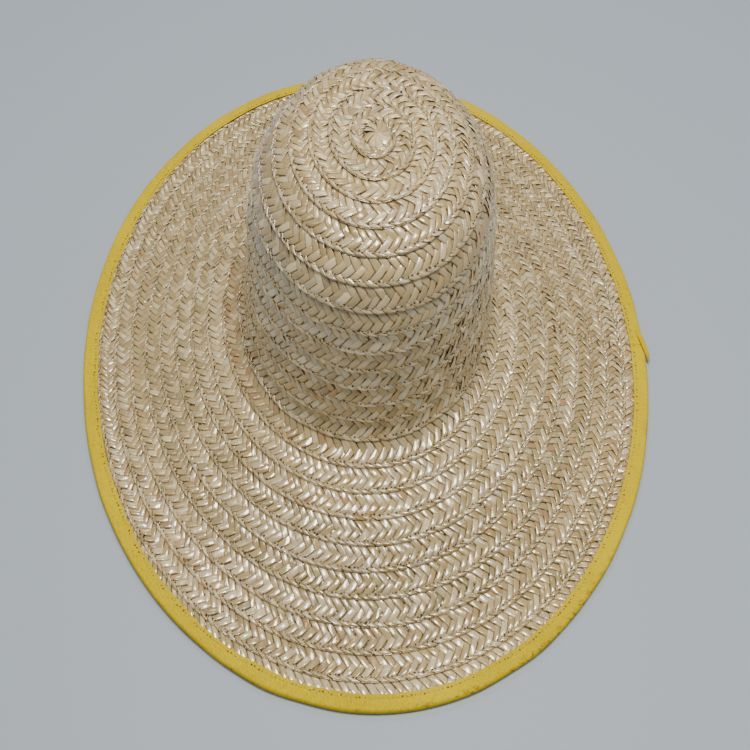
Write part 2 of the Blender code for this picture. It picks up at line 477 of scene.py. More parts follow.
HOLE_REACH = 0.9 * MM  # how far round a hole the straw or the tape is drawn in
UNSEWN = 8.0  # seam coordinate of a point that is away from any needle hole or crease, and gets none of their painted shade
LEAVES = 9  # straws in the whorl that the plait starts from
LEAF_WIDTH = 7.0 * MM
LEAF_DOME = 0.9 * MM  # how much the whorl rises in its middle
LEAF_TILT = 0.75 * MM  # rise of a leaf's upper side over the next leaf
SOILED_PLACE = (0.085, -0.235, 0.003)  # where the tape's edge is dirtiest

# Places across the plait and across the tape, in the millimetres of their seam coordinates.
CREASE_SHADE_WIDTH = 1.2
CREASE_SHADE_START = PITCH / MM - 1.3  # from here inwards a straw is darkened with painted shade, where it tucks under the row above
EDGE_ACROSS = 9.5  # the tape's outer edge
NOSE_ACROSS = 11.5  # the middle of its fold


class Weave:
    """The plait's straws as they pass over and under each other and fold back at its edges."""

    def __init__(self, settings):
        self.ends = settings.ends
        self.spacing = settings.spacing
        self.puff = settings.puff
        self.half_width = settings.spacing * settings.fill / 2
        self.crossing_run = settings.ends * settings.spacing / 2
        self.stitch = settings.stitch
        self.width = PLAIT_WIDTH
        places = np.arange(1, settings.ends)
        above = np.where(places // 2 % 2 == 1, 1.0, -1.0)
        above[-1] = 1.0
        self.heights = np.array([FOLD_RISE, *-above, -FOLD_RISE]) * settings.wave

    def height_at(self, progress):
        """A straw's height at this share of its way across, arched over the straws that it crosses."""
        place = np.clip(progress, 0.0, 1.0) * self.ends
        first = np.clip(np.floor(place).astype(int), 0, self.ends - 1)
        share = eased((place - first - 0.5) / 0.9 + 0.5)
        level = self.heights[first] * (1 - share) + self.heights[first + 1] * share
        return level + ARCH * np.abs(self.heights[first] + self.heights[first + 1]) / 2 * np.sign(level)

    def stations(self, begin, end, phase):
        """Each station's crossing number, progress across and fold angle, between two lengths."""
        first = math.floor((begin - phase) / self.crossing_run)
        last = math.floor((end - phase) / self.crossing_run)
        steps = STATIONS_ACROSS - 1
        across = np.concatenate((np.arange(steps + 1) / steps, np.ones(FOLD_STEPS)))
        fold = np.concatenate((np.zeros(steps + 1), np.arange(1, FOLD_STEPS + 1) / (FOLD_STEPS + 1)))
        crossing = np.repeat(np.arange(first, last + 1), len(across))
        count = last - first + 1
        return crossing, np.tile(across, count), np.tile(fold, count)


def straw_breaks(seed, length):
    """Lengths at which one straw ends in the plait and the next takes over, and each straw's tint."""
    random = np.random.default_rng((SEED, 50, seed))
    breaks = np.cumsum(random.uniform(*STRAW_PIECES, int(length / STRAW_PIECES[0]) + 2)) - 0.2
    count = len(breaks)
    hue = random.random(count)
    shade = np.clip(random.normal(0.5, 0.2, count), 0.0, 1.0)
    return breaks, np.stack((hue, shade, random.random(count), np.ones(count)), -1)


TOTAL_LENGTH = float(length_after(CROWN_TURNS + BRIM_TURNS)) + 0.2


def weave_straw(weave, straw, begin, end):
    """One straw's rings of points, tints and coordinates along a stretch of laid plait."""
    phase = straw * weave.spacing
    crossing, progress, fold = weave.stations(begin, end, phase)
    centre = phase + (crossing + progress) * weave.crossing_run
    keep = (centre >= begin - 1e-9) & (centre <= end + 1e-9)
    crossing, progress, fold, centre = crossing[keep], progress[keep], fold[keep], centre[keep]
    outward = np.where(crossing % 2 == 0, 1.0, -1.0)[:, None]
    across = SECTION_ACROSS[None, :]

    def strayed(kind):
        seed, spacing, size = kind
        return Wander(seed + straw, spacing, TOTAL_LENGTH, size).at(centre)[:, None]

    roll, bob, drift = strayed(ROLL), strayed(BOB), strayed(DRIFT)
    girth, plump = 1 + strayed(GIRTH), 1 + strayed(PLUMPNESS)

    along = centre[:, None] + across * weave.half_width * girth + drift
    lag = across / (2 * weave.ends)
    height = weave.height_at(progress[:, None] + lag)
    arriving = weave.height_at(1.0 + lag)
    leaving = weave.height_at(0.0 + lag)
    turn = fold[:, None] * math.pi
    middle, swing = (arriving + leaving) / 2, (arriving - leaving) / 2
    height = np.where(fold[:, None] > 0, middle + swing * np.cos(turn), height)
    bulge = np.abs(swing) * np.sin(turn) * outward

    facing = np.where(outward > 0, turn, math.pi - turn)
    puff = SECTION_PUFF[None, :] * weave.puff * np.clip(plump, 0.5, 1.5)
    height = height + bob + roll * across + puff * np.cos(facing)
    across_plait = progress - EDGE_EASE * np.sin(math.tau * progress) / math.tau
    share = np.where(outward > 0, across_plait[:, None], 1 - across_plait[:, None])
    share = share + (bulge + puff * np.sin(facing)) / weave.width

    seam_share = 1 - SEAM_INSET / weave.width
    to_hole = (np.abs((along / weave.stitch) % 1.0 - 0.5) - HOLE_SHIFT) * weave.stitch
    from_seam = (share - seam_share) * weave.width
    pull = np.exp(-(from_seam**2 + np.minimum(np.abs(to_hole), 1.2 * MM) ** 2) / HOLE_REACH**2)
    height = height - SEAM_PULL * pull

    breaks, tints = straw_breaks(straw, TOTAL_LENGTH)
    tint = tints[np.searchsorted(breaks, centre)]
    tint = np.repeat(tint[:, None], len(SECTION_ACROSS), axis=1)
    grain = paired(centre[:, None] * 100, across * 0.5 + 3 * straw)
    seam = paired(along / weave.stitch, (1 - share) * weave.width / MM)
    return row_points(turns_after(along), share, height), tint, grain, seam


def weave_piece(name, weave, begin, end, materials):
    """One object that holds every straw of a stretch of plait, and its seam stitches."""
    bundle = Bundle()
    tints, grains, seams = [], [], []
    for straw in range(weave.ends):
        rings, tint, grain, seam = weave_straw(weave, straw, begin, end)
        bundle.add(rings)
        tints.append(tint)
        grains.append(grain)
        seams.append(seam)
    faces = bundle.faces()
    straw_faces = sum(len(part) for part in faces)
    straw_points = bundle.count
    stitches = seam_stitches(weave, begin, end)
    for path in stitches:
        taper = np.sin(np.linspace(0.35, math.pi - 0.35, len(path))) ** 0.3
        bundle.add(tube(path, SEAM_THREAD_RADIUS * taper, THREAD_SIDES))
    if stitches:
        faces += bundle.faces(weave.ends)
        count = bundle.count - straw_points
        tints.append(np.tile((0.5, 0.5, 0.5, 1.0), (count, 1)))
        grains.append(np.zeros((count, 2)))
        seams.append(np.full((count, 2), UNSEWN))
    kinds = np.arange(sum(len(part) for part in faces)) >= straw_faces
    made = add_mesh(name, np.concatenate(bundle.points), faces, materials, kinds)
    add_straw_layers(made, tints, grains, seams)
    return made


def seam_stitches(weave, begin, end):
    """Paths of the seam stitches that show, along the plait's outer edge, from hole to hole."""
    paths = []
    first = math.ceil(begin / weave.stitch)
    last = math.floor(end / weave.stitch - 0.8)
    random = np.random.default_rng((SEED, 70, first))
    share_along = np.linspace(0.0, 1.0, 7)
    for number in range(first, last):
        along = (number + 0.2 + 0.6 * share_along) * weave.stitch
        turns = turns_after(along)
        if reach_at(turns).max() > EDGE_ARC - BINDING_WIDTH:
            continue
        inset = SEAM_INSET + random.normal(0, 0.12 * MM) + share_along * random.normal(0, 0.15 * MM)
        share = 1 - inset / weave.width
        rise = -0.15 * MM + 0.80 * MM * np.sin(math.pi * share_along) ** 0.45
        paths.append(row_points(turns, share, rise))
    return paths


def new_material(name):
    """A node material, its tree and its Principled shader."""
    material = bpy.data.materials.new(name)
    material.use_nodes = True
    tree = material.node_tree
    return material, tree, tree.nodes["Principled BSDF"]


def set_inputs(tree, node, **inputs):
    """Sets a node's inputs, or links them where a value is a socket. The key i0 is the first input."""
    for key, value in inputs.items():
        socket = node.inputs[int(key[1:])] if key[1:].isdigit() else node.inputs[key.replace("_", " ")]
        if isinstance(value, bpy.types.NodeSocket):
            tree.links.new(value, socket)
        else:
            socket.default_value = value


def add_node(tree, kind, settings=None, **inputs):
    """A node with its settings and its inputs."""
    node = tree.nodes.new(kind)
    for key, value in (settings or {}).items():
        setattr(node, key, value)
    set_inputs(tree, node, **inputs)
    return node


def math_node(tree, operation, first, second=0.0):
    """The result of one step of arithmetic."""
    return add_node(tree, "ShaderNodeMath", {"operation": operation}, i0=first, i1=second).outputs[0]


def product(tree, *values):
    """Values multiplied together."""
    result = values[0]
    for value in values[1:]:
        result = math_node(tree, "MULTIPLY", result, value)
    return result


def off_by(tree, value, centre):
    """How far a value is from a centre, as a positive number."""
    return math_node(tree, "ABSOLUTE", math_node(tree, "SUBTRACT", value, centre))


def scaled(tree, vector, scale):
    """A vector or a colour times a value."""
    return add_node(tree, "ShaderNodeVectorMath", {"operation": "SCALE"}, i0=vector, Scale=scale).outputs[0]


def split_vector(tree, vector):
    """The X, Y and Z of a vector."""
    return add_node(tree, "ShaderNodeSeparateXYZ", {}, Vector=vector).outputs


def mix_colours(tree, share, first, second):
    """Two colours mixed by a share."""
    return add_node(tree, "ShaderNodeMix", {"data_type": "RGBA"}, i0=share, i6=first, i7=second).outputs[2]


def ramp(tree, value, stops):
    """A colour ramp through (place, colour) stops."""
    node = add_node(tree, "ShaderNodeValToRGB", {}, Fac=value)
    elements = node.color_ramp.elements
    elements[0].position, elements[0].color = stops[0]
    elements[-1].position, elements[-1].color = stops[-1]
    for place, colour in stops[1:-1]:
        elements.new(place).color = colour
    return node.outputs["Color"]


def spread(tree, value, low, high, new_low, new_high):
    """A value moved from one range to another, and kept within it."""
    limits = {"From_Min": low, "From_Max": high, "To_Min": new_low, "To_Max": new_high}
    return add_node(tree, "ShaderNodeMapRange", {}, Value=value, **limits).outputs["Result"]


def noise(tree, vector, scale, detail=2.0, roughness=0.5):
    """Soft noise at these coordinates."""
    inputs = {"Vector": vector, "Scale": scale, "Detail": detail, "Roughness": roughness}
    return add_node(tree, "ShaderNodeTexNoise", {}, **inputs).outputs["Fac"]


def bump(tree, height, strength, distance):
    """A normal raised by a height."""
    inputs = {"Height": height, "Strength": strength, "Distance": distance}
    return add_node(tree, "ShaderNodeBump", {}, **inputs).outputs[0]


def new_group(name, inputs, outputs):
    """A shader node group, its input sockets and its output node. It takes a vector and named values."""
    tree = bpy.data.node_groups.new(name, "ShaderNodeTree")
    tree.interface.new_socket("Vector", in_out="INPUT", socket_type="NodeSocketVector")
    for label, default in inputs.items():
        socket = tree.interface.new_socket(label, in_out="INPUT", socket_type="NodeSocketFloat")
        socket.default_value = default
    for label in outputs:
        tree.interface.new_socket(label, in_out="OUTPUT", socket_type="NodeSocketFloat")
    return tree, tree.nodes.new("NodeGroupInput").outputs, tree.nodes.new("NodeGroupOutput")


def place_group(tree, name, build, **inputs):
    """A node group placed with its inputs. It is built the first time that it is asked for."""
    group = bpy.data.node_groups.get(name) or build(name)
    return add_node(tree, "ShaderNodeGroup", {"node_tree": group}, **inputs).outputs


def build_fibre_grain(name):
    """Fine lines along a fibre: a mask of streaks and a height."""
    tree, given, out = new_group(name, {"Stretch": 6.0}, ("Streaks", "Height"))
    split = split_vector(tree, given["Vector"])
    drawn = product(tree, split["Y"], given["Stretch"])
    joined = add_node(tree, "ShaderNodeCombineXYZ", {}, X=split["X"], Y=drawn).outputs[0]
    broad = noise(tree, joined, 1.3, 2.0)
    fine = noise(tree, joined, 4.5, 3.0)
    mean = product(tree, math_node(tree, "ADD", fine, broad), 0.5)
    set_inputs(tree, out, Streaks=mean, Height=fine)
    return tree


def build_needle_holes(name):
    """A mask of needle holes of uneven size along a seam, where the holes' shade is painted: coordinates
    are stitches along and millimetres across.
    """
    tree, given, out = new_group(name, {"Inset": 2.0, "Stitch": 5.0, "Radius": 0.4}, ("Mask",))
    split = split_vector(tree, given["Vector"])
    number = math_node(tree, "FLOOR", product(tree, split["X"], 2.0))
    chance = add_node(tree, "ShaderNodeTexWhiteNoise", {"noise_dimensions": "1D"}, W=number)
    chances = add_node(tree, "ShaderNodeSeparateColor", {}, Color=chance.outputs["Color"]).outputs
    from_middle = off_by(tree, math_node(tree, "FRACT", split["X"]), 0.5)
    along = product(tree, math_node(tree, "SUBTRACT", from_middle, HOLE_SHIFT), given["Stitch"])
    stray = spread(tree, chances[1], 0.0, 1.0, -HOLE_STRAY, HOLE_STRAY)
    across = math_node(tree, "SUBTRACT", math_node(tree, "ADD", split["Y"], stray), given["Inset"])
    squares = (math_node(tree, "POWER", along, 2.0), math_node(tree, "POWER", across, 2.0))
    radius = product(tree, given["Radius"], spread(tree, chances[0], 0.0, 1.0, 0.3, 1.4))
    distance = math_node(tree, "DIVIDE", math_node(tree, "SQRT", math_node(tree, "ADD", *squares)), radius)
    set_inputs(tree, out, Mask=spread(tree, distance, 0.7, 1.3, 1.0, 0.0))
    return tree


def build_dust(name):
    """Patchy handling dirt: a mask from place in the object."""
    tree, given, out = new_group(name, {"Amount": 0.5}, ("Mask",))
    patch = spread(tree, noise(tree, given["Vector"], 28.0, 3.0, 0.6), 0.52, 0.75, 0.0, 1.0)
    speck = spread(tree, noise(tree, given["Vector"], 420.0, 2.0, 0.6), 0.60, 0.74, 0.0, 1.0)
    joined = product(tree, patch, math_node(tree, "ADD", speck, 0.25), given["Amount"])
    set_inputs(tree, out, Mask=joined)
    return tree


BIAS = math.radians(45)  # the cloth is cut at this angle to the tape


def build_cloth_weave(name):
    """Plain-woven cotton on the bias: a height and a thread mask from tape coordinates in millimetres."""
    tree, given, out = new_group(name, {"Threads": 2.2}, ("Height", "Slub"))
    settings = {"rotation_type": "Z_AXIS"}
    turned = add_node(tree, "ShaderNodeVectorRotate", settings, Vector=given["Vector"], Angle=BIAS)
    threads = scaled(tree, turned.outputs[0], given["Threads"])
    split = split_vector(tree, threads)
    warp = math_node(tree, "SINE", product(tree, split["X"], math.pi))
    weft = math_node(tree, "SINE", product(tree, split["Y"], math.pi))
    height = spread(tree, product(tree, warp, weft), -1.0, 1.0, 0.0, 1.0)
    stretched = add_node(tree, "ShaderNodeMapping", {}, Vector=threads, Scale=(0.12, 1.0, 1.0))
    set_inputs(tree, out, Height=height, Slub=noise(tree, stretched.outputs[0], 1.5, 3.0))
    return tree


# Colours of stains, dirt and the tape's darker nose, and of the painted shade in needle holes and tucked
# creases.
BRUISE_COLOUR = (0.22, 0.13, 0.05, 1.0)
STRAW_DUST_COLOUR = (0.17, 0.13, 0.08, 1.0)
TUCKED_SHADE_COLOUR = (0.16, 0.095, 0.035, 1.0)
STRAW_HOLE_SHADE_COLOUR = (0.05, 0.03, 0.012, 1.0)
THREAD_DUST_COLOUR = (0.12, 0.09, 0.05, 1.0)
NOSE_TAPE_COLOUR = (0.50, 0.26, 0.015, 1.0)
TAPE_DIRT_COLOUR = (0.10, 0.06, 0.03, 1.0)
TAPE_HOLE_SHADE_COLOUR = (0.10, 0.06, 0.01, 1.0)
SEAM_THREAD_COLOUR = (0.62, 0.54, 0.38)


def opaque(colour):
    """A colour property as four numbers."""
    return (*colour, 1.0)


def straw_material(settings):
    """Glossy plaited wheat straw: every straw has its own hue, with fine lines along it."""
    material, tree, shader = new_material("plaited_straw")
    tint = add_node(tree, "ShaderNodeAttribute", {"attribute_name": "tint"}).outputs["Color"]
    hue_share, shade_share, gloss_share = add_node(tree, "ShaderNodeSeparateColor", {}, Color=tint).outputs
    grain_map = add_node(tree, "ShaderNodeUVMap", {"uv_map": "grain"}).outputs[0]
    seam_map = add_node(tree, "ShaderNodeUVMap", {"uv_map": "seam"}).outputs[0]
    place = add_node(tree, "ShaderNodeTexCoord").outputs["Object"]

    cream, wheat = opaque(settings.cream), opaque(settings.wheat)
    sage, tan = opaque(settings.sage), opaque(settings.tan)
    stops = [(0.0, cream), (0.22, cream), (0.45, wheat), (0.70, wheat), (0.84, sage), (1.0, tan)]
    grain = place_group(tree, "fibre_grain", build_fibre_grain, Vector=grain_map, Stretch=6.0)
    streaks = spread(tree, grain["Streaks"], 0.30, 0.70, 0.80, 1.20)
    light = product(tree, streaks, spread(tree, shade_share, 0.0, 1.0, 0.72, 1.22))
    colour = scaled(tree, ramp(tree, hue_share, stops), light)
    bruise = spread(tree, noise(tree, place, 900.0, 2.0), 0.62, 0.72, 0.0, 0.45)
    colour = mix_colours(tree, bruise, colour, BRUISE_COLOUR)
    dust = place_group(tree, "handling_dust", build_dust, Vector=place, Amount=0.35)
    colour = mix_colours(tree, dust["Mask"], colour, STRAW_DUST_COLOUR)
    inset = split_vector(tree, seam_map)["Y"]
    # Painted shade: the straw is darkened where it tucks under the row above.
    crease_shade = spread(tree, inset, CREASE_SHADE_START, CREASE_SHADE_START + CREASE_SHADE_WIDTH, 0.0, 0.60)
    colour = mix_colours(tree, crease_shade, colour, TUCKED_SHADE_COLOUR)
    sewing = {"Inset": SEAM_INSET / MM, "Stitch": settings.stitch / MM, "Radius": 0.55}
    # Painted shade: each needle hole is a dark spot on the straw.
    holes = place_group(tree, "needle_holes", build_needle_holes, Vector=seam_map, **sewing)
    colour = mix_colours(tree, holes["Mask"], colour, STRAW_HOLE_SHADE_COLOUR)

    waxy = spread(tree, gloss_share, 0.0, 1.0, 0.10, 0.34)
    rough = math_node(tree, "ADD", waxy, spread(tree, grain["Streaks"], 0.3, 0.7, 0.06, -0.04))
    normal = bump(tree, grain["Height"], 0.35, 0.05 * MM)
    set_inputs(tree, shader, Base_Color=colour, Roughness=rough, Normal=normal)
    set_inputs(tree, shader, IOR=1.5, Specular_IOR_Level=1.0)
    set_inputs(tree, shader, Coat_Weight=0.8, Coat_Roughness=0.10, Coat_IOR=1.8)
    return material


def thread_material(name, colour, roughness):
    """Twisted sewing thread."""
    material, tree, shader = new_material(name)
    place = add_node(tree, "ShaderNodeTexCoord").outputs["Object"]
    fibres = noise(tree, place, 2600.0, 2.0)
    shaded = scaled(tree, colour, spread(tree, fibres, 0.3, 0.7, 0.7, 1.2))
    dust = place_group(tree, "handling_dust", build_dust, Vector=place, Amount=0.4)
    final = mix_colours(tree, dust["Mask"], shaded, THREAD_DUST_COLOUR)
    rough = spread(tree, fibres, 0.3, 0.7, roughness, roughness + 0.15)
    normal = bump(tree, fibres, 0.5, 0.04 * MM)
    set_inputs(tree, shader, Base_Color=final, Roughness=rough, Normal=normal)
    return material


def tape_material(settings):
    """Matt yellow cotton tape with a fine weave, darker between its threads with painted shade, and a
    little darker, browner and dirtier at its outer edge.
    """
    material, tree, shader = new_material("cotton_tape")
    tape_map = add_node(tree, "ShaderNodeUVMap", {"uv_map": "tape"}).outputs[0]
    seam_map = add_node(tree, "ShaderNodeUVMap", {"uv_map": "seam"}).outputs[0]
    place = add_node(tree, "ShaderNodeTexCoord").outputs["Object"]
    weave = place_group(tree, "cloth_weave", build_cloth_weave, Vector=tape_map, Threads=2.2)
    base = opaque(settings.tape_colour)
    deep = (base[0] * 0.66, base[1] * 0.58, base[2] * 0.5, 1.0)
    pale = (min(1.0, base[0] * 1.22), min(1.0, base[1] * 1.27), base[2], 1.0)
    colour = ramp(tree, weave["Slub"], [(0.34, deep), (0.50, base), (0.66, pale)])
    # Painted shade: the tape is darker in the low parts of its weave, between the threads.
    colour = mix_colours(tree, spread(tree, weave["Height"], 0.0, 1.0, 0.30, 0.0), colour, deep)
    fade = spread(tree, noise(tree, place, 16.0, 2.0), 0.45, 0.70, 0.0, 0.35)
    colour = mix_colours(tree, fade, colour, pale)
    across = split_vector(tree, seam_map)["Y"]
    # The tape is darker and browner round its nose, the fold at its outer edge.
    nose = spread(tree, off_by(tree, across, NOSE_ACROSS), 0.0, 4.5, 1.0, 0.0)
    colour = mix_colours(tree, product(tree, nose, 0.22), colour, NOSE_TAPE_COLOUR)

    dust = place_group(tree, "handling_dust", build_dust, Vector=place, Amount=1.8)
    soil = product(tree, dust["Mask"], math_node(tree, "ADD", nose, 0.25))
    apart = add_node(tree, "ShaderNodeVectorMath", {"operation": "DISTANCE"}, i0=place, i1=SOILED_PLACE)
    near = spread(tree, apart.outputs["Value"], 0.05, 0.10, 1.0, 0.0)
    specks = spread(tree, noise(tree, place, 330.0, 2.0, 0.6), 0.52, 0.66, 0.0, 0.75)
    edge = spread(tree, off_by(tree, across, EDGE_ACROSS), 1.5, 4.0, 1.0, 0.0)
    soil = math_node(tree, "MAXIMUM", soil, product(tree, near, edge, specks))
    colour = mix_colours(tree, soil, colour, TAPE_DIRT_COLOUR)
    sewing = {"Inset": settings.margin / MM, "Stitch": settings.stitch / MM, "Radius": 0.46}
    # Painted shade: each needle hole is a dark spot on the tape.
    holes = place_group(tree, "needle_holes", build_needle_holes, Vector=seam_map, **sewing)
    colour = mix_colours(tree, holes["Mask"], colour, TAPE_HOLE_SHADE_COLOUR)

    rough = spread(tree, weave["Slub"], 0.3, 0.7, 0.92, 0.74)
    normal = bump(tree, weave["Height"], 0.5, 0.12 * MM)
    set_inputs(tree, shader, Base_Color=colour, Roughness=rough, Normal=normal, Specular_IOR_Level=0.12)
    return material


def material_once(name, build, *arguments):
    """The material of this name, built the first time that it is asked for."""
    return bpy.data.materials.get(name) or build(*arguments)


def straw_materials(settings):
    """The plait's two materials: straw and natural seam thread."""
    straw = material_once("plaited_straw", straw_material, settings)
    thread = material_once("seam_thread", thread_material, "seam_thread", SEAM_THREAD_COLOUR, 0.35)
    return straw, thread


def rim_points(turns, inset, height):
    """Points at this inset from the tape's outer face, measured square to the edge."""
    azimuth = azimuth_at(turns)
    east, north = np.cos(azimuth), np.sin(azimuth)
    outward = np.stack((east, EDGE_OVAL * north), -1)
    outward /= np.linalg.norm(outward, axis=-1, keepdims=True)
    rim = np.stack((BRIM_WIDTH / 2 * east, BRIM_LENGTH / 2 * north), -1)
    flat = rim - outward * inset[..., None]
    return np.concatenate((flat, height[..., None]), -1)


def rim_length():
    """Length round the tape's outer face at a run of turns."""
    turns = np.linspace(-0.05, 1.05, 4401)
    length = length_along(rim_points(turns, np.zeros_like(turns), np.zeros_like(turns)))
    return turns, length - np.interp(0.0, turns, length)


RIM_TURNS, RIM_LENGTH = rim_length()
ROUND_RIM = float(np.interp(1.0, RIM_TURNS, RIM_LENGTH))


def tape_section():
    """The tape's middle, as insets and heights from its top inner edge round the nose to its lower one."""
    top = BINDING_HEIGHT - TAPE_THICKNESS / 2 - 0.15 * MM
    low = TAPE_THICKNESS / 2 + 0.05 * MM
    nose = (top - low) / 2
    depth = nose * 0.62
    start = TAPE_THICKNESS / 2
    leg = np.linspace(BINDING_WIDTH, start + depth, 13)
    upper = np.stack((leg, np.full_like(leg, top)), -1)
    angle = np.linspace(0.0, math.pi, 11)[1:-1]
    bend = np.stack((start + depth * (1 - np.sin(angle)), low + nose * (1 + np.cos(angle))), -1)
    lower = np.stack((leg[::-1], np.full_like(leg, low)), -1)
    return np.concatenate((upper, bend, lower))


JOIN_BLEND = 0.03  # length over which the tape's end blends into its start


def round_the_rim(values, length):
    """Values along the rim, blended near the join so that the tape's end meets its start."""
    share = eased((length - ROUND_RIM + JOIN_BLEND) / JOIN_BLEND)
    return values(length) * (1 - share) + values(length - ROUND_RIM) * share


def rim_wander(seed, spacing, size):
    """Seeded values that change smoothly along the rim."""
    return Wander(seed, spacing, ROUND_RIM + 0.1, size).at


def whole_stitch(stitch):
    """The stitch length nearest to this one that goes a whole number of times round the rim."""
    return ROUND_RIM / round(ROUND_RIM / stitch)


def ripples(length, inset):
    """Small slanting ripples of the stitched tape, as a height."""
    tightness = rim_wander(600, 17 * MM, 0.5)(length)
    slanting = length + 0.6 * inset
    fine = np.sin(math.tau * slanting / (6.1 * MM) + 3 * tightness)
    broad = np.sin(math.tau * slanting / (14.7 * MM) + 1.3 + 4 * tightness)
    return fine * (0.5 + 0.5 * tightness) + 0.8 * broad


class HAT_OT_gathered_start(bpy.types.Operator):
    """Gather the plait's first straws into a small overlapping whorl, in the middle of the crown"""

    bl_idname = "straw_hat.gathered_start"
    bl_label = "Gathered Start"

    def execute(self, context):
        settings = context.scene.straw_hat_straw
        random = np.random.default_rng((SEED, 30))
        bundle = Bundle()
        tints, grains, seams = [], [], []
        for leaf in range(LEAVES):
            rings, tint, grain, seam = self.leaf(leaf, settings, random)
            bundle.add(rings)
            tints.append(np.tile(tint, (rings.shape[0] * rings.shape[1], 1)))
            grains.append(grain)
            seams.append(seam)
        straw = straw_materials(settings)[0]
        made = add_mesh("gathered_start", np.concatenate(bundle.points), bundle.faces(), [straw])
        add_straw_layers(made, tints, grains, seams)
        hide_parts("plait_start")
        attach(made, BODY)
        return {"FINISHED"}

    def leaf(self, leaf, settings, random):
        """One straw of the whorl, from the middle out, where it turns under itself."""
        out = np.linspace(0.0, 1.0, 13)[:, None]
        across = SECTION_ACROSS[None, :]
        turn = eased((out - 0.86) / 0.14) * math.pi * 0.8
        radius = START_RADIUS * (0.04 + 1.12 * np.minimum(out, 0.93) / 0.93)
        sweep = random.normal(0.75, 0.12)
        azimuth = leaf * math.tau / LEAVES + sweep * out + random.normal(0, 0.06)
        half_width = LEAF_WIDTH / 2 * np.sin(math.pi * (0.07 + 0.56 * out)) ** 0.8
        aside = across * half_width * random.uniform(0.90, 1.15)
        east = radius * np.cos(azimuth) - np.sin(azimuth) * aside
        north = radius * np.sin(azimuth) + np.cos(azimuth) * aside
        puff = SECTION_PUFF[None, :] * settings.puff
        dome = LEAF_DOME * (1 - out) ** 1.5 - 0.25 * MM
        fold = -0.35 * MM * (1 - np.cos(turn))
        lift = dome + fold + LEAF_TILT * across + puff * np.cos(turn * 0.3) - PLAIT_THICKNESS / 3
        place = hat_points(np.hypot(east, north), np.arctan2(north, east), lift)
        tint = (*random.random(3), 1.0)
        grain = paired(out * 1.2 + leaf, across * 0.5 + 3 * leaf)
        # Painted shade: the leaf's tucked side gets the straw material's crease shade.
        tucked = CREASE_SHADE_START + 1.3 * np.clip((-0.2 - across) / 0.7, 0.0, 1.0)
        seam = paired(0.0 * out, tucked)
        return place, tint, grain, seam


class HAT_OT_plait_turns(bpy.types.Operator):
    """Weave and lay the plait's turns, one object to a turn"""

    bl_idname = "straw_hat.plait_turns"
    bl_label = "Plait Turns"

    def execute(self, context):
        settings = context.scene.straw_hat_straw
        weave = Weave(settings)
        for turn in range(CROWN_TURNS + BRIM_TURNS):
            part, first = ("crown", 0) if turn < CROWN_TURNS else ("brim", CROWN_TURNS)
            number = turn + 1 - first
            begin, end = float(length_after(turn)), float(length_after(turn + 1))
            name = f"{part}_plait_{number:02d}"
            made = weave_piece(name, weave, begin, end, straw_materials(settings))
            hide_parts(f"{part}_turn_{number:02d}")
            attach(made, BODY)
        return {"FINISHED"}


def grid_faces(rows, columns):
    """Quads of an open grid of points."""
    row = np.arange(rows - 1)[:, None] * columns
    column = np.arange(columns - 1)[None, :]
    first = row + column
    quads = np.stack((first, first + columns, first + columns + 1, first + 1), -1)
    return quads.reshape(-1, 4)


def thicken(made, thickness):
    """Gives a cloth sheet its thickness, half to each side."""
    solid = made.modifiers.new("thickness", "SOLIDIFY")
    solid.thickness = thickness
    solid.offset = 0.0
    solid.use_even_offset = True


TAPE_DIMPLE = 0.22 * MM  # depth of the tape at a needle hole
TAPE_GROOVE = 0.16 * MM  # depth of the tape along its stitches
TAPE_BELLY = 0.18 * MM  # rise of the tape between its stitches and its outer edge
FOLD_START = 4.5 * MM  # the turned-over end's width where it starts
FOLD_LIFT = 1.5 * MM  # how far its inner edge stands off the tape


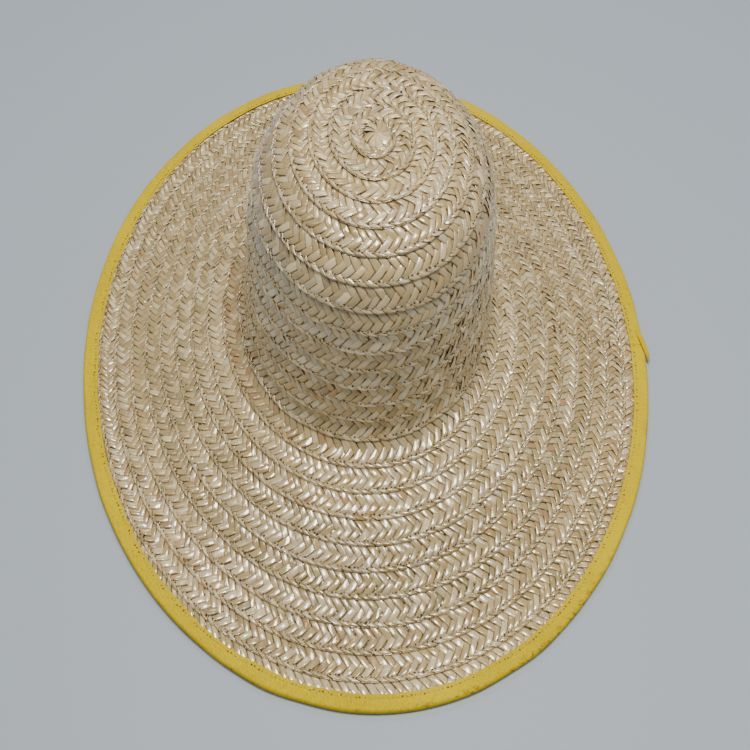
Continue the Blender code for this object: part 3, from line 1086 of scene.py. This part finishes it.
class HAT_OT_binding_tape(bpy.types.Operator):
    """Fold the cotton tape round the brim's edge, with its turned-over end at the join"""

    bl_idname = "straw_hat.binding_tape"
    bl_label = "Binding Tape"

    def execute(self, context):
        settings = context.scene.straw_hat_binding
        tape = material_once("cotton_tape", tape_material, settings)
        made = self.make_tape(settings, tape)
        fold = self.make_fold(tape)
        return {"FINISHED"}

    def make_tape(self, settings, tape):
        count = int(ROUND_RIM / (1.3 * MM))
        length = np.linspace(0.0, ROUND_RIM, count)[:, None]
        turns = np.interp(length, RIM_LENGTH, RIM_TURNS)
        section = tape_section()
        inset, height = section[None, :, 0], section[None, :, 1]
        middle = (BINDING_HEIGHT - TAPE_THICKNESS) / 2
        upper = np.clip((height - middle) / middle, -1, 1)
        flat = np.clip((inset - 1.5 * MM) / (1.5 * MM), 0, 1)
        edge_wander = round_the_rim(rim_wander(610, 21 * MM, 0.25 * MM), length)
        inset = inset + edge_wander * eased((inset - 5 * MM) / (3 * MM)) * np.where(height > middle, 1, 0.6)
        nose_wander = round_the_rim(rim_wander(620, 23 * MM, 0.22 * MM), length)
        inset = inset + np.maximum(nose_wander + 0.1 * MM, -0.3 * MM) * (1 - flat)
        seam_inset = BINDING_WIDTH - settings.margin
        along = length / whole_stitch(settings.stitch)
        to_hole = (np.abs(along % 1.0 - 0.5) - HOLE_SHIFT) * settings.stitch
        spot = np.exp(-((inset - seam_inset) ** 2 + to_hole**2) / HOLE_REACH**2)
        groove = np.exp(-(((inset - seam_inset) / (1.1 * MM)) ** 2))
        sink = TAPE_DIMPLE * spot + TAPE_GROOVE * groove
        swell = round_the_rim(lambda distance: ripples(distance, inset), length)
        swell = settings.pucker * swell * np.clip(inset / (3 * MM), 0.25, 1) * 0.55
        belly = TAPE_BELLY * np.sin(np.clip((inset - 1.0 * MM) / (seam_inset - 1.0 * MM), 0, 1) * math.pi)
        height = height + (swell + belly) * np.clip(upper, 0, 1) - sink * np.clip(upper, 0, 1)
        height = height + 0.5 * sink * np.clip(-upper, 0, 1)
        inset, height, turns = np.broadcast_arrays(inset, height, turns)
        points = rim_points(turns, inset, height)
        rows, columns = inset.shape
        made = add_mesh("binding_tape", points.reshape(-1, 3), [grid_faces(rows, columns)], [tape])
        across = length_along(section)[None, :] / MM
        add_coordinates(made, "tape", paired(length / MM, across).reshape(-1, 2))
        add_coordinates(made, "seam", paired(along, across).reshape(-1, 2))
        thicken(made, TAPE_THICKNESS)
        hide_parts("edge_binding")
        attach(made, BODY)
        return made

    def make_fold(self, tape):
        rows, columns = 41, 9
        along = np.linspace(0.0, 1.0, rows)[:, None]
        across = np.linspace(0.0, 1.0, columns)[None, :]
        turns = (along - 0.5) * FOLD_LENGTH / (math.pi * BRIM_LENGTH)
        inner = FOLD_START * (1 - along) ** 0.9 - (FOLD_PROUD - 0.6 * MM) * along**6
        outer = 0.15 * MM - (FOLD_PROUD + 0.15 * MM) * eased(along) + 1.3 * MM * (1 - eased(along / 0.35))
        inset = inner + (outer - inner) * across
        lifted = FOLD_LIFT * np.sin(math.pi * along**1.4) ** 0.8 * (1 - across) ** 1.5
        sunk = 0.9 * MM * across**2 + 1.1 * MM * eased((along - 0.75) / 0.25)
        height = BINDING_HEIGHT + 0.12 * MM + lifted - sunk * along
        inset, height, turns = np.broadcast_arrays(inset, height, turns)
        points = rim_points(turns, inset, height)
        fold = add_mesh("tape_fold", points.reshape(-1, 3), [grid_faces(rows, columns)[:, ::-1]], [tape])
        flat = paired(along * FOLD_LENGTH / MM, across * 5.0 + 2.0)
        add_coordinates(fold, "tape", flat.reshape(-1, 2))
        add_coordinates(fold, "seam", np.full((rows * columns, 2), 9.0))
        thicken(fold, TAPE_THICKNESS)
        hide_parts("binding_fold")
        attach(fold, BODY)
        return fold


class HAT_OT_binding_thread(bpy.types.Operator):
    """Sew the tape on: twisted stitches along its upper and lower legs"""

    bl_idname = "straw_hat.binding_thread"
    bl_label = "Binding Thread"

    def execute(self, context):
        settings = context.scene.straw_hat_binding
        material = material_once(
            "cotton_thread", thread_material, "cotton_thread", tuple(settings.thread_colour), 0.4
        )
        random = np.random.default_rng((SEED, 90))
        bundle = Bundle()
        share_along = np.linspace(0.0, 1.0, 9)
        stitch = whole_stitch(settings.stitch)
        for number in range(round(ROUND_RIM / stitch) - 1):
            for upper in (True, False):
                shift = 0.2 if upper else 0.7
                length = (number + shift + 0.6 * share_along) * stitch
                turns = np.interp(length, RIM_LENGTH, RIM_TURNS)
                inset = BINDING_WIDTH - settings.margin + random.normal(0, 0.06 * MM)
                bow = np.sin(math.pi * share_along) ** 0.5
                if upper:
                    height = BINDING_HEIGHT - 0.45 * MM + 0.42 * MM * bow
                else:
                    height = 0.30 * MM - 0.18 * MM * bow
                for ply in (0.0, math.pi):
                    twist = share_along * math.tau * 2.2 + ply
                    ring = settings.thread_radius * 0.5
                    path = rim_points(turns, inset + ring * np.cos(twist), height + ring * np.sin(twist))
                    radii = np.full(len(path), settings.thread_radius * 0.55)
                    bundle.add(tube(path, radii, THREAD_SIDES))
        made = add_mesh("binding_stitches", np.concatenate(bundle.points), bundle.faces(), [material])
        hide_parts("binding_thread")
        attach(made, BODY)
        return {"FINISHED"}


CAMERA_PLACE = (-0.0186, -0.4211, 0.5787)
CAMERA_YAW = math.radians(3.52)
CAMERA_DIP = math.radians(56.02)  # how far the camera looks down
FLOOR_REACH = 25.0
FLOOR_DROP = 0.3 * MM  # keeps the floor just clear of the tape
SKY_COLOUR = (0.95, 0.97, 1.0, 1.0)
LIGHT_COLOUR = (1.0, 0.925, 0.79)
LIT_PLACE = (0, 0, 0.05)  # what each light points at
TUBE_SIZE = (0.06, 0.9)


class HAT_OT_stage(bpy.types.Operator):
    """Set the camera, the pale floor and the soft lights"""

    bl_idname = "straw_hat.stage"
    bl_label = "Stage"

    def execute(self, context):
        settings = context.scene.straw_hat_stage
        self.make_camera(context, settings)
        self.make_floor(settings)
        self.make_lights(context, settings)
        return {"FINISHED"}

    def make_camera(self, context, settings):
        data = bpy.data.cameras.new("camera")
        data.lens = settings.lens
        data.sensor_width = 36.0
        camera = bpy.data.objects.new("camera", data)
        context.scene.collection.objects.link(camera)
        camera.location = CAMERA_PLACE
        level = math.cos(CAMERA_DIP)
        look = Vector((math.sin(CAMERA_YAW) * level, math.cos(CAMERA_YAW) * level, -math.sin(CAMERA_DIP)))
        camera.rotation_mode = "QUATERNION"
        camera.rotation_quaternion = look.to_track_quat("-Z", "Y")
        context.scene.camera = camera

    def make_floor(self, settings):
        places = (-FLOOR_REACH, FLOOR_REACH)
        points = np.array([(east, north, -FLOOR_DROP) for east in places for north in places])
        material, tree, shader = new_material("pale_floor")
        set_inputs(tree, shader, Base_Color=opaque(settings.floor_colour), Roughness=0.55)
        floor = add_mesh("floor", points, [grid_faces(2, 2)], [material])

    def make_lights(self, context, settings):
        world = bpy.data.worlds.new("studio")
        world.use_nodes = True
        sky = world.node_tree.nodes["Background"]
        set_inputs(world.node_tree, sky, Color=SKY_COLOUR, Strength=settings.sky)
        context.scene.world = world
        self.add_light(context, "key", (0.12, -0.05, 1.5), (0.4, 0.4), settings.key_power)
        self.add_light(context, "left_tube", (-0.55, -0.15, 1.4), TUBE_SIZE, settings.tube_power)
        self.add_light(context, "right_tube", (0.60, -0.15, 1.4), TUBE_SIZE, settings.tube_power)
        self.add_light(context, "glint", (0.0, 0.95, 1.25), (0.6, 0.2), settings.glint_power)

    def add_light(self, context, name, place, size, power):
        data = bpy.data.lights.new(name, "AREA")
        data.shape = "RECTANGLE"
        data.size, data.size_y = size
        data.color = LIGHT_COLOUR
        data.energy = power
        light = bpy.data.objects.new(name, data)
        context.scene.collection.objects.link(light)
        light.location = place
        light.rotation_mode = "QUATERNION"
        light.rotation_quaternion = (Vector(LIT_PLACE) - Vector(place)).to_track_quat("-Z", "Y")


class HAT_PT_sidebar(bpy.types.Panel):
    """Lists the hat's steps and settings"""

    bl_idname = "HAT_PT_sidebar"
    bl_label = "Straw Hat"
    bl_space_type = "VIEW_3D"
    bl_region_type = "UI"
    bl_category = "Straw Hat"

    def draw(self, context):
        scene = context.scene
        for operator in OPERATORS:
            self.layout.operator(operator.bl_idname)
        for settings in (scene.straw_hat_straw, scene.straw_hat_binding, scene.straw_hat_stage):
            box = self.layout.box()
            for name in settings.__annotations__:
                box.prop(settings, name)


SETTINGS = {
    "straw_hat_straw": StrawSettings,
    "straw_hat_binding": BindingSettings,
    "straw_hat_stage": StageSettings,
}
OPERATORS = (
    HAT_OT_stage,
    HAT_OT_gathered_start,
    HAT_OT_plait_turns,
    HAT_OT_binding_tape,
    HAT_OT_binding_thread,
)


def register():
    for settings in SETTINGS.values():
        bpy.utils.register_class(settings)
    for operator in OPERATORS:
        bpy.utils.register_class(operator)
    bpy.utils.register_class(HAT_PT_sidebar)
    for name, settings in SETTINGS.items():
        setattr(bpy.types.Scene, name, PointerProperty(type=settings))


def unregister():
    for name in SETTINGS:
        delattr(bpy.types.Scene, name)
    bpy.utils.unregister_class(HAT_PT_sidebar)
    for operator in reversed(OPERATORS):
        bpy.utils.unregister_class(operator)
    for settings in reversed(SETTINGS.values()):
        bpy.utils.unregister_class(settings)


def main():
    register()
    bpy.ops.straw_hat.stage()
    bpy.ops.straw_hat.gathered_start()
    bpy.ops.straw_hat.plait_turns()
    bpy.ops.straw_hat.binding_tape()
    bpy.ops.straw_hat.binding_thread()


if __name__ == "__main__":
    main()
